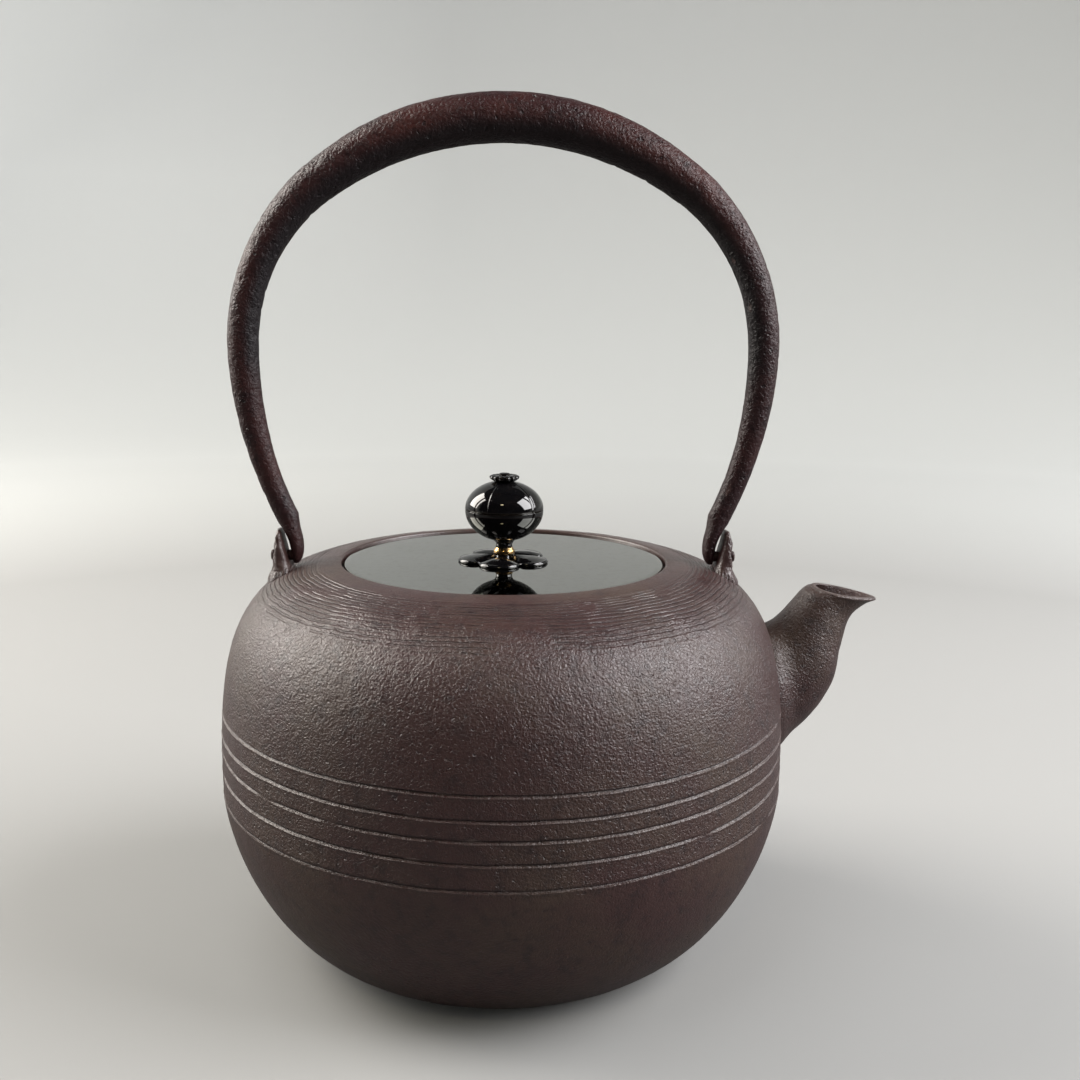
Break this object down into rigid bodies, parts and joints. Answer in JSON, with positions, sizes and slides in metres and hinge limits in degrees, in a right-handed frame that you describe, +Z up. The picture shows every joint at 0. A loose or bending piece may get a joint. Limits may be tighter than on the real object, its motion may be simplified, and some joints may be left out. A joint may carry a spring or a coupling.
{
  "type": "iron kettle",
  "caption": "Round cast iron kettle with a short spout, two lugs, a swinging forged bail handle and a lift-off bronze lid with a ball knob on a flower washer.",
  "frame": {"origin": "centre of the pot's flat bottom, on the surface it stands on", "axes": "+Z up along the pot's axis, +X from the axis towards the spout, handle in the XZ plane"},
  "size_m": [0.1879, 0.16, 0.2378],
  "materials": {
    "pot_iron": "sand-cast skin under satin red-brown lacquer",
    "bail_iron": "forged and pitted, dark red-brown lacquer",
    "lid_bronze": "dark polished bronze",
    "black_bronze": "black patina, polished",
    "worn_brass": "bare, worn bright"
  },
  "bodies": {
    "pot": {"kettle_body": "pot_iron"},
    "lid": {"lid_plate": "lid_bronze", "lid_backing_washer": "lid_bronze", "flower_washer": "black_bronze"},
    "knob": {"knob_collar": "worn_brass", "knob_lower_shell": "black_bronze", "knob_upper_shell": "black_bronze", "knob_finial": "black_bronze", "knob_pin": "black_bronze"},
    "bail": {"handle_bail": "bail_iron"}
  },
  "joints": [
    {"name": "handle_swing", "type": "hinge", "parent": "pot", "child": "bail", "pos_m": [0, 0, 0.1118], "axis": [1, 0, 0], "range_deg": [-85, 85]},
    {"name": "lid_lift", "type": "slide", "parent": "pot", "child": "lid", "axis": [0, 0, 1], "range_m": [0, 0.06]},
    {"name": "knob_spin", "type": "hinge", "parent": "lid", "child": "knob", "pos_m": [0, 0, 0.12], "axis": [0, 0, 1], "continuous": true}
  ]
}
